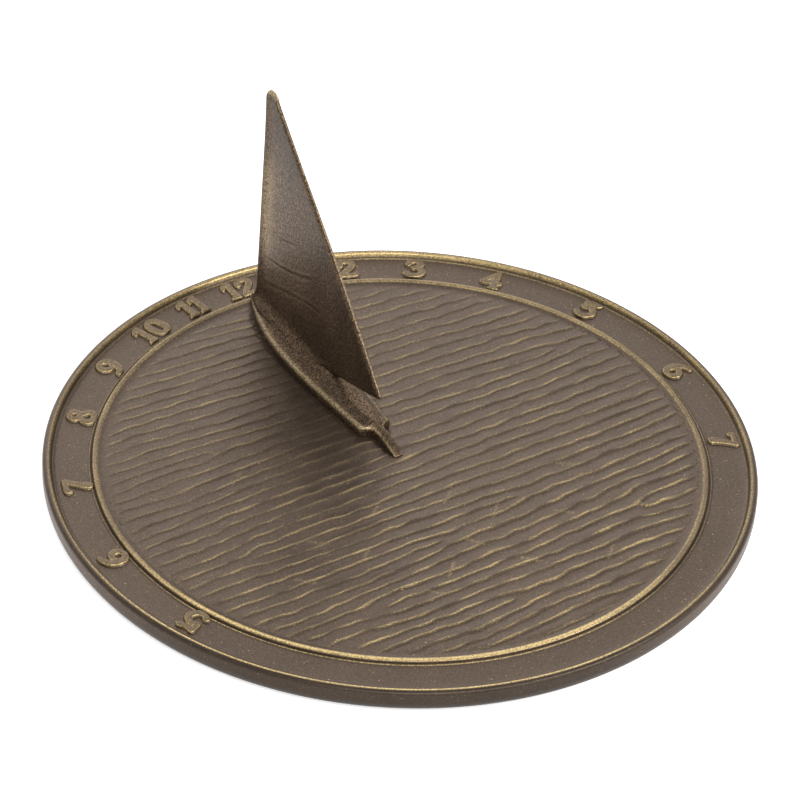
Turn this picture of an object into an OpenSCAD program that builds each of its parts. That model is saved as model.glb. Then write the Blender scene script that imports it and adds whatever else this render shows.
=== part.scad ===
// Horizontal garden sundial with a sailing boat as its gnomon.
// A round cast plate carries a plain hour band between two raised rings and a field of
// water ripples. The boat is a second casting, held from below by two screws.
// +Y is north, towards the noon mark, +X is east, and the plate rests on z = 0.

/* [Dial plate] */
// Overall diameter of the plate
plate_d = 254; // [250:1:290]
// Height of the rim bead's top above the rest face
plate_h = 9; // [8.8:0.1:12]
// Thickness of the casting under the hour band
wall = 3.4; // [3:0.1:3.8]
// Rounding radius of the plate's lower outer edge
edge_round = 5; // [3:0.25:5]
// Width of the flat land that the plate rests on
rest_w = 3; // [2:0.25:5]
// Rounding radius of the rim bead's outer shoulder
bead_round = 3; // [2:0.25:3.25]
// Width of the rim bead
bead_w = 4.2; // [3.8:0.1:6]
// Depth of the hour band below the rim bead
band_drop = 2.1; // [1.2:0.1:2.3]
// Width of the hour band
band_w = 12.8; // [10:0.2:16]

/* [Inner ring] */
// Height of the ring's crest above the hour band
ring_rise = 1.3; // [0.9:0.05:1.8]
// Width of the ring's rounded crest
ring_w = 1.8; // [1.4:0.1:3]
// Width of the hollow slope from the crest down to the water
cove_w = 3.6; // [2.5:0.1:6]
// Height of the water's troughs above the hour band
field_rise = 0.4; // [0.2:0.05:0.6]

/* [Water ripples] */
// Distance from one ripple crest to the next
ripple_pitch = 5.6; // [5:0.1:10]
// Height of a crest above its trough
ripple_h = 0.65; // [0.3:0.05:0.9]
// Sideways sway of a crest line
ripple_sway = 0.7; // [0:0.05:1]
// Length of one sway along the crest
sway_len = 74; // [50:1:140]

/* [Boat hull] */
// Length of the hull from stem to transom
hull_l = 90; // [80:1:93]
// Greatest beam
beam = 18.8; // [16:0.2:24]
// Beam at the transom, as the width of its top edge
transom_w = 12.6; // [9:0.2:14]
// Height of the gunwale above the plate
gunwale_h = 3.7; // [3:0.1:5]
// Height of the deck's crown above the gunwale amidships
crown_h = 4.9; // [3.5:0.1:6]
// Height of the deck's crown above the gunwale at the transom
aft_crown_h = 1.3; // [0.8:0.1:2]
// Length of the rudder behind the transom
rudder_l = 16; // [12:0.5:17]
// Width of the rudder's top
rudder_w = 2.4; // [2:0.1:4]

/* [Sail] */
// Height of the sail's tip above the plate
sail_h = 100.4; // [80:1:110]
// Lean of the luff away from upright
luff_lean = 2.3; // [0:0.1:5]
// Slope of the casting edge of the shadow above the plate
style_angle = 46; // [42:0.5:50]
// Fullness of the bend in the sloping edge
roach = 0.075; // [0:0.005:0.1]
// Rise of the sail's foot towards its free corner
foot_angle = 18.5; // [14:0.5:22]
// Thickness of the sail
sail_t = 2.3; // [2:0.1:3.2]
// Thickness of the mast strip along the luff
mast_t = 3.2; // [2.6:0.1:4]
// Rounding radius of the tip
tip_round = 3.6; // [2.5:0.1:4]
// Spread of the hollow root where the sail grows out of the deck
root_flare = 3; // [2:0.1:3.2]

/* [Fastening] */
// Diameter of the two gnomon screws
screw_d = 4; // [3:0.5:4]
// Reach of a screw into the boat
screw_grip = 5.2; // [4:0.1:5.5]
// Diameter of the round screw head
head_d = 7.6; // [7:0.1:8]
// Height of the round screw head
head_h = 2.1; // [1.8:0.1:2.2]
// Diameter of a washer
washer_d = 8.2; // [8:0.1:10]
// Thickness of a washer
washer_t = 0.9; // [0.6:0.1:0.9]
// Clearance of a screw in the plate's hole, on the radius
hole_gap = 0.25; // [0.1:0.05:0.4]
// Bore of the central threaded hole, as drilled for the thread
mount_bore_d = 5.1; // [4:0.1:6]
// Depth of the central threaded hole
mount_depth = 5.3; // [4:0.1:5.4]
// Diameter of the central boss at its foot
boss_d = 20; // [16:0.5:30]

/* [Hidden] */
$fn = 96;
EPS = 0.01;

plate_r = plate_d / 2;
band_z = plate_h - band_drop;
field_z = band_z + field_rise;
ceiling_z = band_z - wall;
bead_in = plate_r - bead_w;
ring_out = bead_in - band_w;
ring_z = band_z + ring_rise;
field_r = ring_out - ring_w - cove_w;
bead_lip = 0.9;
band_fillet = 0.6;
ring_round = 0.8;
draft = 0.35;
arc_steps = 4;
recess_r = plate_r - edge_round - rest_w;
recess_round = 2;
landing_gap = 0.3;

water_r = field_r - 1;
water_end_w = 2.5;
water_sink = 0.3;
water_root = 1.2;
trough_h = 0.08;
crest_share = 0.2;
ripple_count = floor((water_r - water_end_w - 1) / ripple_pitch);
ripple_steps = 16;

bow_gap = 0.6;
bow_n = ring_out - ring_w - bow_gap;
transom_n = bow_n - hull_l;
widest_n = transom_n + 0.47 * hull_l;
half_beam = beam / 2;
half_transom = transom_w / 2;
bow_fullness = 2.7;
run_fullness = 1.3;
crown_fade = 0.7;
crown_run = 0.33 * hull_l;
gunwale_round = 1.1;
camber = 1.25;
deck_steps = 3;
stem_half = 0.6;
transom_sweep = 4;
stern_n = transom_n - transom_sweep;
tail_n = transom_n - rudder_l;
rudder_root = rudder_w / 2 + 1;
rudder_tip = rudder_w / 2 + 0.5;
rudder_end_h = 0.7;
rudder_fall = 1.6;
rudder_side = 0.72;
rudder_steps = 5;
bow_steps = 9;
aft_steps = 9;

screw_r = screw_d / 2;
screw_n = [transom_n + 0.68 * hull_l, transom_n + 0.22 * hull_l];
thread_gap = 0.05;
tap_depth = screw_grip + 0.8;
head_edge = 0.4;
pad_h = 0.3;
pad_d = washer_d + 3;
washer_z = ceiling_z - pad_h;

mast_w = 3.4;
luff_setback = 3.2;
stem_reach = 3;
stem_top = 12.5;
stem_curve = 9;
root_top = 15;
root_run = 8;
sail_root = 2.6;
sail_taper = 0.25;
inside_hull = 0.75;
leech_bend_h = 0.55 * sail_h;
leech_bend_w = 12;
leech_n0 = -3.8;
foot_h0 = 6.5;
foot_n0 = 43;
clew_round = 1.1;
clew_h = 5;
tip_h = sail_h - tip_round;
tip_end = 80;
nose_shape = [[0.15, 0.4], [0.6, 0.8], [1.6, 1], [3.4, 1], [5.8, 1], [9, 1]];
leech_shape = [[2, 1], [0.8, 0.72], [0.15, 0.3]];
foot_steps = 7;
clew_steps = 4;
leech_steps = 9;
tip_steps = 5;

// A smooth step from 0 to 1 while t runs from 0 to 1
function ease(t) = let (u = max(0, min(1, t))) u * u * (3 - 2 * u);

// The larger of two values, with the corner between them rounded off
function soft_max(a, b, r) = (a + b) / 2 + sqrt((a - b) * (a - b) / 4 + r * r);

// Half the hull's beam at a place n north of the dial's centre
function hull_half(n) =
    n > widest_n
    ? half_beam - (half_beam - stem_half) * pow((n - widest_n) / (bow_n - widest_n), bow_fullness)
    : half_beam - (half_beam - half_transom) * pow((widest_n - n) / (widest_n - transom_n), run_fullness);

// Rise of the deck's crown above the gunwale, low at the transom and fading to the stem
function crown(n) =
    let (fore = crown_h * pow(hull_half(n) / half_beam, crown_fade))
    let (aft = aft_crown_h + (crown_h - aft_crown_h) * ease((n - transom_n) / crown_run))
    min(fore, aft);

// Fore and aft places of the hull's sections, closer together where the plan bends
function hull_stations() = [
    for (i = [0 : aft_steps]) transom_n + (widest_n - transom_n) * i / aft_steps,
    for (i = [1 : bow_steps]) widest_n + (bow_n - widest_n) * sin(90 * i / bow_steps)
];

// Plan of the boat and its rudder, widened by gap
module hull_plan(gap) {
    tail = [rudder_tip + gap, tail_n - gap];
    root = [rudder_root + gap, stern_n];
    corner = [half_transom + gap, transom_n - gap];
    side = [for (n = hull_stations()) [hull_half(n) + gap, n]];
    stem = [stem_half + gap, bow_n + gap];
    right = concat([tail, root, corner], side, [stem]);
    left = [for (i = [len(right) - 1 : -1 : 0]) [-right[i][0], right[i][1]]];
    polygon(concat(right, left));
}

// A solid skinned over sections that have equally many points, with the faces of one end
module loft(sections, cap) {
    m = len(sections[0]);
    k = len(sections);
    sides = [
        for (i = [0 : k - 2])
        for (j = [0 : m - 1])
        let (a = i * m + j, b = i * m + (j + 1) % m)
        each [[a, b, b + m], [a, b + m, a + m]]
    ];
    first = [for (f = cap) [for (i = [len(f) - 1 : -1 : 0]) f[i]]];
    last = [for (f = cap) [for (j = f) (k - 1) * m + j]];
    polyhedron([for (s = sections) each s], concat(first, last, sides));
}

// End faces of a mirrored section, as strips from one side to the other
function strips(m) = [for (j = [0 : m / 2 - 2]) each [[j, j + 1, m - 2 - j], [j, m - 2 - j, m - 1 - j]]];

// End faces of a section as a fan from its last point
function fan(m) = [for (j = [0 : m - 3]) [m - 1, j, j + 1]];

// Points along an arc of a profile, from one angle to another
function arc(centre, r, from, to) = [
    for (i = [0 : arc_steps])
    let (a = from + (to - from) * i / arc_steps)
    [centre[0] + r * cos(a), centre[1] + r * sin(a)]
];

// Profile of the plate: out along its hollow underside, round the rim and back over the face
module plate_profile() {
    flank = ring_out - draft;
    drop = ring_z - field_z;
    cove_r = (cove_w * cove_w + drop * drop) / (2 * drop);
    polygon(concat(
        [[0, ceiling_z]],
        arc([recess_r - recess_round, ceiling_z - recess_round], recess_round, 90, 0),
        [[recess_r + draft, 0]],
        arc([plate_r - edge_round, edge_round], edge_round, -90, 0),
        arc([plate_r - bead_round, plate_h - bead_round], bead_round, 0, 90),
        arc([bead_in + bead_lip, plate_h - bead_lip], bead_lip, 90, 180),
        arc([bead_in - draft - band_fillet, band_z + band_fillet], band_fillet, 0, -90),
        arc([ring_out + band_fillet, band_z + band_fillet], band_fillet, -90, -180),
        arc([flank - ring_round, ring_z - ring_round], ring_round, 0, 90),
        arc([field_r, field_z + cove_r], cove_r, asin(cove_w / cove_r) - 90, -90),
        [[0, field_z]]
    ));
}

// One line of the water's face from side to side: every second line is a crest
function water_row(row) =
    let (k = floor(row / 2), peak = row % 2 == 0 ? 0 : 1)
    let (n0 = (k + crest_share * peak) * ripple_pitch, reach = sqrt(water_r * water_r - n0 * n0))
    concat(
        [
            for (i = [ripple_steps : -1 : 0])
            let (t = 2 * i / ripple_steps - 1, x = reach * sin(80 * t) / sin(80))
            let (edge = i == 0 || i == ripple_steps, fade = 1 - pow(min(1, norm([x, n0]) / water_r), 8))
            let (swell = 0.85 + 0.15 * sin(5 * x + 57 * k))
            let (sway = sin(360 * x / sway_len + 23 * k) + 0.4 * sin(828 * x / sway_len + 41 * k))
            let (z = edge ? -water_sink : trough_h + ripple_h * peak * fade * swell)
            [x, n0 + (edge ? 0 : ripple_sway * sway), field_z + z]
        ],
        [[-reach, n0, field_z - water_root], [reach, n0, field_z - water_root]]
    );

// Straight line, sunk in the plate, that closes the water's face to the south or north
function water_end(side) =
    let (n0 = side * (ripple_count * ripple_pitch + water_end_w), reach = sqrt(water_r * water_r - n0 * n0))
    concat(
        [for (i = [ripple_steps : -1 : 0]) [reach * (2 * i / ripple_steps - 1), n0, field_z - water_sink]],
        [[-reach, n0, field_z - water_root], [reach, n0, field_z - water_root]]
    );

// The rippled water: one face of crests and troughs that sinks into the plate at its border
module ripples() {
    rows = [for (row = [-2 * ripple_count : 2 * ripple_count]) water_row(row)];
    loft(concat([water_end(-1)], rows, [water_end(1)]), fan(ripple_steps + 3));
}

module dial_plate() {
    color([0.43, 0.38, 0.33])
    difference() {
        union() {
            rotate_extrude() plate_profile();
            ripples();
            cylinder(h = ceiling_z + EPS, d1 = boss_d, d2 = boss_d + 2 * draft);
            for (n = screw_n) translate([0, n, washer_z]) cylinder(h = pad_h + EPS, d = pad_d);
        }
        translate([0, 0, field_z]) linear_extrude(plate_h) hull_plan(landing_gap);
        translate([0, 0, -EPS]) cylinder(h = mount_depth + EPS, d = mount_bore_d);
        for (n = screw_n) translate([0, n, 0]) cylinder(h = field_z + 1, r = screw_r + hole_gap);
    }
}

// Half width of the flat strip along the top, narrower where the hull is narrow
function strip_half(b) = min(rudder_w / 2, b / 2);

// Half section of hull or rudder: side of height g, rounded edge, cambered deck rising by c
function half_section(n, b, g, c, strip) =
    let (r = min(gunwale_round, b / 3), edge = b - r)
    concat(
        [[b - r / 4, n, field_z], [b, n, field_z + r / 2], [b, n, field_z + g - r]],
        [[edge + r * cos(45), n, field_z + g - r + r * sin(45)]],
        [
            for (i = [0 : deck_steps])
            let (t = i / deck_steps)
            [edge + (strip - edge) * t, n, field_z + g + c * pow(t, camber)]
        ]
    );

// A section closed over the centre line, its other half mirrored
function both_sides(half) = concat(
    half,
    [for (i = [len(half) - 1 : -1 : 0]) [-half[i][0], half[i][1], half[i][2]]]
);

// Height of the rudder's top at a share t of its length behind the transom
function rudder_h(t) =
    let (top = gunwale_h + aft_crown_h)
    top - (top - rudder_end_h) * pow(t, rudder_fall);

// Sections of the rudder from its tip to the transom
function rudder_sections() = [
    for (i = [rudder_steps : -1 : 0])
    let (t = i / rudder_steps, n = stern_n - (stern_n - tail_n) * t)
    let (w = rudder_root + (rudder_tip - rudder_root) * t, h = rudder_h(t))
    both_sides(half_section(n, w, rudder_side * h, (1 - rudder_side) * h, strip_half(w)))
];

// Sections of the hull from its transom to the stem
function hull_sections() = [
    for (n = hull_stations())
    let (b = hull_half(n))
    both_sides(half_section(n, b, gunwale_h, crown(n), strip_half(b)))
];

module hull_body() {
    sections = concat(rudder_sections(), hull_sections());
    loft(sections, strips(len(sections[0])));
}

// Forward edge of the sail at a height h above the plate
function luff_n(h) =
    bow_n - luff_setback - h * tan(luff_lean) + stem_reach * pow(max(0, (stem_top - h) / stem_curve), 2);

// Sloping after edge of the sail, two straight runs joined by a long bend
function leech_n(h) =
    let (d = h - leech_bend_h, k = 1 / tan(style_angle))
    leech_n0 + k * h + roach * (sqrt(d * d + leech_bend_w * leech_bend_w) - leech_bend_w);

function foot_n(h) = foot_n0 - (h - foot_h0) / tan(foot_angle);

// After edge with the rounded free corner between the foot and the sloping edge
function aft_n(h) = soft_max(foot_n(h), leech_n(h), clew_round);

// Fore and aft limits of the sail at a height, rounded off over the tip
function sail_span(h) =
    let (t = max(0, h - tip_h) / tip_round, cap = sqrt(max(0, 1 - t * t)))
    let (nose = luff_n(min(h, tip_h)), mid = nose - tip_round)
    [mid - (mid - aft_n(min(h, tip_h))) * cap, mid + tip_round * cap];

// Half thickness of the sail a distance d behind the luff, at a height h above the plate
function sail_half(h, d) =
    let (flare = root_flare * pow(max(0, (root_top - h) / (root_top - sail_root)), 2))
    let (strip = (mast_t - sail_t) / 2 * (1 - ease((d - mast_w / 2) / mast_w)))
    (sail_t / 2 + strip) * (1 - sail_taper * h / sail_h) + flare * ease(d / root_run);

// Horizontal section of the sail, kept inside the hull's plan where it enters the deck
function sail_section(h) =
    let (span = sail_span(h), chord = span[1] - span[0], k = min(1, chord / (3 * root_run)))
    let (lid = h > tip_h ? sqrt((sail_h - h) / tip_round) : 1)
    let (fore = [for (q = nose_shape) [k * q[0], q[1]]])
    let (aft = [for (q = leech_shape) [chord - k * q[0], q[1]]])
    both_sides([
        for (q = concat(fore, aft))
        let (n = span[1] - q[0])
        [min(q[1] * lid * sail_half(h, q[0]), inside_hull * hull_half(n)), n, field_z + h]
    ]);

// Heights of the sail's sections: close at the foot and its free corner, then at the tip
function sail_levels() = [
    for (i = [0 : foot_steps]) sail_root + (root_top - sail_root) * i / foot_steps,
    for (i = [1 : clew_steps]) root_top + clew_h * i / clew_steps,
    for (i = [1 : leech_steps]) root_top + clew_h + (tip_h - root_top - clew_h) * i / leech_steps,
    for (i = [1 : tip_steps]) tip_h + tip_round * sin(tip_end * i / tip_steps)
];

module sail() {
    sections = [for (h = sail_levels()) sail_section(h)];
    loft(sections, strips(len(sections[0])));
}

module sailboat_gnomon() {
    color([0.36, 0.32, 0.27])
    difference() {
        union() {
            hull_body();
            sail();
        }
        for (n = screw_n)
            translate([0, n, field_z - 1]) cylinder(h = tap_depth + 1, r = screw_r + thread_gap);
    }
}

// A round-headed screw, head down, its shank running up through the plate into the boat
module gnomon_screw() {
    under_head = washer_z - washer_t;
    shank = field_z + screw_grip - under_head;
    ball_r = (head_d * head_d / 4 + head_h * head_h) / (2 * head_h) + head_edge;
    translate([0, 0, under_head]) cylinder(h = shank, r = screw_r);
    intersection() {
        translate([0, 0, under_head - head_h]) cylinder(h = head_h, d = head_d);
        translate([0, 0, under_head - head_h + ball_r]) sphere(ball_r);
    }
}

module gnomon_screws() {
    color([0.72, 0.72, 0.7])
    for (n = screw_n) translate([0, n, 0]) gnomon_screw();
}

module lock_washers() {
    color([0.62, 0.62, 0.6])
    for (n = screw_n)
        translate([0, n, washer_z - washer_t])
        difference() {
            cylinder(h = washer_t, d = washer_d);
            translate([0, 0, -1]) cylinder(h = washer_t + 2, r = screw_r + hole_gap);
        }
}

dial_plate();
sailboat_gnomon();
gnomon_screws();
lock_washers();
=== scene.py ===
import math
import bpy
import numpy as np
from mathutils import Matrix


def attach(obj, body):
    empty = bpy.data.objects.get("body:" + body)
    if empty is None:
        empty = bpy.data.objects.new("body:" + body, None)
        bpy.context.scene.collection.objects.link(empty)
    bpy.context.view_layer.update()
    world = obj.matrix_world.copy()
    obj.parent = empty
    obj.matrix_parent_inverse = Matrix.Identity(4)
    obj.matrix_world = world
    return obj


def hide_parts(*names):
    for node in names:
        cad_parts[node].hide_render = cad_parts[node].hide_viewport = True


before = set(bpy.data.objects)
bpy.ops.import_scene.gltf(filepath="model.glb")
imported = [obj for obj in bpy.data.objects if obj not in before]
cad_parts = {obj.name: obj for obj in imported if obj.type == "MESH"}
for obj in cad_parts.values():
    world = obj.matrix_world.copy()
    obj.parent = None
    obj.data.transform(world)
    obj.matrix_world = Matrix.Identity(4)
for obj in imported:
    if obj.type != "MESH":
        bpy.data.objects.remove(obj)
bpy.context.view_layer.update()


# ---- Camera -------------------------------------------------------------------------
# A long lens looks down on the dial from the south-west, with the whole plate in a
# square picture. The place and the turn were fitted to the rim, the rings and the sail.
VIEW_LENS, VIEW_SENSOR = 173.475, 36
VIEW_PLACE = (-0.590747, -0.901042, 0.854403)
VIEW_TURN = (52.66361, -2.48790, -31.27494)

lens = bpy.data.cameras.new("view_lens")
lens.sensor_width = VIEW_SENSOR
lens.lens = VIEW_LENS
camera = bpy.data.objects.new("view_camera", lens)
camera.location = VIEW_PLACE
camera.rotation_euler = [math.radians(a) for a in VIEW_TURN]
bpy.context.collection.objects.link(camera)
bpy.context.scene.camera = camera


# ---- Floor and light ----------------------------------------------------------------
# A pale studio floor inside a white tent, which lights the dial from all round. Two soft
# lamps stand in front and a large panel behind, on the right. Sizes here are in metres.
FLOOR_SIZE, FLOOR_DROP = 12.0, 0.0002
FLOOR_PAINT, FLOOR_ROUGH, FLOOR_GLOW = (0.9, 0.9, 0.9, 1), 0.9, 0.55
WHITE, TENT_LIGHT = (1, 1, 1, 1), 0.78
# each lamp's place, the width of its face and its power
LAMPS = {
    "right_lamp": ((1.3, -1.9, 1.9), 0.8, 36),
    "front_lamp": ((-0.7, -2.0, 2.2), 0.8, 30),
    "back_panel": ((0.85, 2.35, 1.45), 2.6, 25),
}


def new_material(name):
    """A material with its shader and two functions, one adds a node and one joins it."""
    mat = bpy.data.materials.new(name)
    mat.use_nodes = True
    nodes, links = mat.node_tree.nodes, mat.node_tree.links
    shader = nodes["Principled BSDF"]

    def add(kind, inputs=None, **settings):
        made = nodes.new(kind)
        for key, value in settings.items():
            setattr(made, key, value)
        for key, value in (inputs or {}).items():
            if isinstance(value, bpy.types.NodeSocket):
                links.new(value, made.inputs[key])
            else:
                made.inputs[key].default_value = value
        return made

    def join(source, socket):
        links.new(source, shader.inputs[socket])

    return mat, shader, add, join


def soft_lamp(name, place, size, power):
    """A square area lamp at a place, turned towards the dial."""
    data = bpy.data.lights.new(name, "AREA")
    data.size = size
    data.energy = power
    lamp = bpy.data.objects.new(name, data)
    lamp.location = place
    far = math.hypot(place[0], place[1])
    lamp.rotation_euler = (math.atan2(far, place[2]), 0, math.atan2(place[0], -place[1]))
    bpy.context.collection.objects.link(lamp)


side = FLOOR_SIZE / 2
floor_mesh = bpy.data.meshes.new("studio_floor")
floor_corners = [(-side, -side), (side, -side), (side, side), (-side, side)]
floor_mesh.from_pydata([(x, y, -FLOOR_DROP) for x, y in floor_corners], [], [(0, 1, 2, 3)])
floor = bpy.data.objects.new("studio_floor", floor_mesh)
bpy.context.collection.objects.link(floor)
paint, shader, add, join = new_material("floor_paint")
shader.inputs["Base Color"].default_value = FLOOR_PAINT
shader.inputs["Roughness"].default_value = FLOOR_ROUGH
shader.inputs["Emission Color"].default_value = WHITE
shader.inputs["Emission Strength"].default_value = FLOOR_GLOW
floor_mesh.materials.append(paint)

world = bpy.data.worlds.new("studio_tent")
world.use_nodes = True
world.node_tree.nodes["Background"].inputs["Color"].default_value = WHITE
world.node_tree.nodes["Background"].inputs["Strength"].default_value = TENT_LIGHT
bpy.context.scene.world = world
bpy.context.scene.view_settings.view_transform = "Standard"
for name, (place, size, power) in LAMPS.items():
    soft_lamp(name, place, size, power)


# ---- Dial plate ---------------------------------------------------------------------
# One round sand casting in aluminium, antiqued dark brown: rolled rim, flat hour band and
# raised inner ring, both rings rubbed to gold. Below it is hollowed to a thin plate, with
# a boss tapped for the stud that holds the dial down. Sizes from here on in millimetres.
MM = 0.001
TURNS = 720
# the rim: its rolled side and the bead on top
PLATE_R, SIDE_ROLL = 127.0, 5.0
BEAD_TOP, SHOULDER_ROLL, BEAD_MID, BEAD_ROLL = 9.35, 1.5, 125.0, 0.9
# down the bead's inner flank, over a fine lip and out on to the band: (radius, height)
LIP_RUN = [(123.98, 8.4), (123.82, 8.02), (123.66, 7.8), (123.46, 7.68), (123.25, 7.62),
           (123.0, 7.5), (122.7, 7.3), (122.4, 7.17),
           (121.9, 7.08), (121.0, 7.0), (120.0, 6.95), (119.0, 6.92)]
BAND_Z, BAND_OUT, BAND_IN = 6.9, 118, 111.3
# the fine line round the foot of the inner ring: (radius, height above the band)
FOOT_RUN = [(111.0, 0.03), (110.8, 0.16), (110.6, 0.32), (110.42, 0.36),
            (110.24, 0.28), (110.1, 0.1), (109.9, 0.06), (109.75, 0.2)]
RING_OUT, RING_ROLL, RING_Z, RING_IN = 109.7, 0.9, 8.2, 108.3
# the water field, and the hollow curve up from it to the ring's top
FIELD_Z, FIELD_R, COVE_W = 7.3, 104.6, 3.6
# the underside: its ceiling, the foot's inner wall, the boss and its tapped hole
CEILING_Z, HOLLOW_R, HOLLOW_ROLL, LAND_IN = 3.5, 119.0, 2.0, 119.45
BOSS_R, BOSS_EASE, BOSS_DRAFT, BOSS_ROLL = 10.0, 0.4, 0.3, 0.6
BORE_R, BORE_DEPTH, BORE_POINT, BORE_PITCH, BORE_CUT = 2.55, 5.3, 0.5, 1.27, 0.5
# bearings of the side towards the camera, where painted highlight gilds the rings' tops,
# and of the line of sight, along which their gold lines are painted brightest
FRONT_BEARING, GLINT_LINE_BEARING = 212, 35
# radii of what is gilt: the bead's and the ring's tops from start to end, and fine lines; the
# line round the ring's foot is rubbed a little and lit with painted highlight on the camera side
BEAD_TOP_FROM, BEAD_TOP_TO, RING_TOP_FROM, RING_TOP_TO = 123.7, 124.9, 107.1, 109.0
BEAD_LINE, LIP_LINE, RING_LINES, FOOT_LINE = 124.25, 123.05, (107.75, 109.15), 110.42
BEAD_GROOVE, RING_GROOVE = 123.66, 109.95
# the lacquer's roughness and metalness, and the dark colour of groove patina and of painted shade
LACQUER_ROUGH, LACQUER_METAL, PATINA_AND_SHADE = 0.42, 0.85, (0.012, 0.010, 0.008, 1)
GRAIN_DEEP, SAND_DEEP = 0.00012, 0.00006


def ease(t):
    """A smooth step from 0 to 1 while t runs from 0 to 1."""
    u = np.clip(t, 0, 1)
    return u * u * (3 - 2 * u)


def fading(distance, wide):
    """1 on a line, and fading smoothly to nothing on both sides of it."""
    return np.exp(-(distance / wide) ** 2)


def arc(centre, radius, start, end, steps=10):
    """Points of a rounded corner of a profile, angles in degrees."""
    turns = [math.radians(start + (end - start) * i / steps) for i in range(steps + 1)]
    return [(centre[0] + radius * math.cos(a), centre[1] + radius * math.sin(a)) for a in turns]


def swell(x, n, seed, reach, count=9):
    """A smooth uneven surface with waves about reach long, between -1 and 1."""
    draw = np.random.RandomState(seed)
    total = 0
    for _ in range(count):
        turn = draw.uniform(0, 2 * np.pi)
        length = reach * draw.uniform(0.6, 1.8)
        shift = draw.uniform(0, 6.28)
        run = x * np.cos(turn) + n * np.sin(turn)
        total = total + np.sin(run * 2 * np.pi / length + shift)
    return total / count ** 0.5 / 1.4


def mesh_piece(name, points, faces, material, marks=None):
    """A smooth shaded piece from points in millimetres, with named values at its points."""
    mesh = bpy.data.meshes.new(name)
    mesh.from_pydata((np.asarray(points, float) * MM).tolist(), [], faces)
    for key, values in (marks or {}).items():
        layer = mesh.attributes.new(key, "FLOAT", "POINT")
        layer.data.foreach_set("value", np.asarray(values, np.float32))
    mesh.polygons.foreach_set("use_smooth", [True] * len(mesh.polygons))
    mesh.materials.append(material)
    mesh.validate()
    mesh.update()
    piece = bpy.data.objects.new(name, mesh)
    bpy.context.collection.objects.link(piece)
    return piece


def spin(profile, count):
    """Points and faces of a profile of (radius, height) turned round the dial's axis."""
    angle = np.arange(count) * 2 * np.pi / count
    points, faces, rings = [], [], []
    for r, z in profile:
        if r < 1e-6:
            rings.append([len(points)] * count)
            points.append((0, 0, z))
        else:
            rings.append(range(len(points), len(points) + count))
            points.extend(zip(r * np.cos(angle), r * np.sin(angle), [z] * count))
    for low, high in zip(rings, rings[1:]):
        for i in range(count):
            j = (i + 1) % count
            face = [low[i], low[j], high[j], high[i]]
            faces.append([v for k, v in enumerate(face) if v not in face[:k]])
    return np.array(points, float), faces


def thread_wave(points, pitch):
    """How far each point is from a thread's crest, 0 to 1, on a spiral round the z axis."""
    turn = np.arctan2(points[:, 1], points[:, 0]) / (2 * np.pi)
    return np.abs(2 * ((points[:, 2] / pitch - turn) % 1) - 1)


def casting_finish(name, dark, mid, gold, gritty):
    """Antiqued cast metal: grainy brown lacquer, dark with patina and painted shade, gold where
    rubbed or painted to glint.
    """
    mat, shader, add, join = new_material(name)
    place = add("ShaderNodeTexCoord").outputs["Object"]

    def noise(scale, detail, roughness=0.5):
        sockets = {"Vector": place, "Scale": scale, "Detail": detail, "Roughness": roughness}
        return add("ShaderNodeTexNoise", sockets).outputs["Fac"]

    def spread(value, low, high, least, most):
        limits = {"Value": value, "From Min": low, "From Max": high,
                  "To Min": least, "To Max": most}
        return add("ShaderNodeMapRange", limits).outputs["Result"]

    def blend(factor, under, over, kind="MIX"):
        sockets = {"Factor": factor, "A": under, "B": over}
        mix = add("ShaderNodeMix", sockets, data_type="RGBA", blend_type=kind)
        return mix.outputs["Result"]

    cloud = noise(45, 6, 0.6)
    grain = noise(850, 4, 0.65)
    sand = noise(1700, 3, 0.7)
    fleck = noise(1500, 2)
    # the first value gilds rubbed wear and painted highlights alike; the second darkens with
    # patina and painted shade
    rub_and_glint = add("ShaderNodeAttribute", attribute_name="rub_and_glint").outputs["Fac"]
    shade = add("ShaderNodeAttribute", attribute_name="shade").outputs["Fac"]

    brown = blend(spread(cloud, 0.3, 0.7, 0, 1), dark, mid)
    sandy = spread(sand, 0.36, 0.64, 1 - gritty, 1 + gritty)
    grainy = spread(grain, 0.32, 0.68, 1 - 0.6 * gritty, 1 + 0.6 * gritty)
    brown = blend(0.9, brown, sandy, "MULTIPLY")
    brown = blend(0.8, brown, grainy, "MULTIPLY")
    dust = spread(sand, 0.40, 0.6, 0.3, 1.35)
    worn = add("ShaderNodeMath", {0: rub_and_glint, 1: dust}, operation="MULTIPLY", use_clamp=True)
    gilt = blend(worn.outputs["Value"], brown, gold)
    gilt = blend(spread(fleck, 0.68, 0.78, 0, 0.6), gilt, gold)
    join(blend(shade, gilt, PATINA_AND_SHADE), "Base Color")
    join(spread(cloud, 0.3, 0.7, LACQUER_ROUGH - 0.05, LACQUER_ROUGH + 0.06), "Roughness")
    shader.inputs["Metallic"].default_value = LACQUER_METAL
    coarse = add("ShaderNodeBump", {"Height": grain, "Strength": 0.9 * gritty + 0.1,
                                    "Distance": GRAIN_DEEP})
    skin = add("ShaderNodeBump", {"Height": sand, "Strength": 0.45, "Distance": SAND_DEEP,
                                  "Normal": coarse.outputs["Normal"]})
    join(skin.outputs["Normal"], "Normal")
    return mat


plate_finish = casting_finish("antiqued_plate", dark=(0.082, 0.058, 0.042, 1),
                              mid=(0.112, 0.080, 0.058, 1), gold=(0.72, 0.54, 0.25, 1),
                              gritty=0.2)

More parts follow.
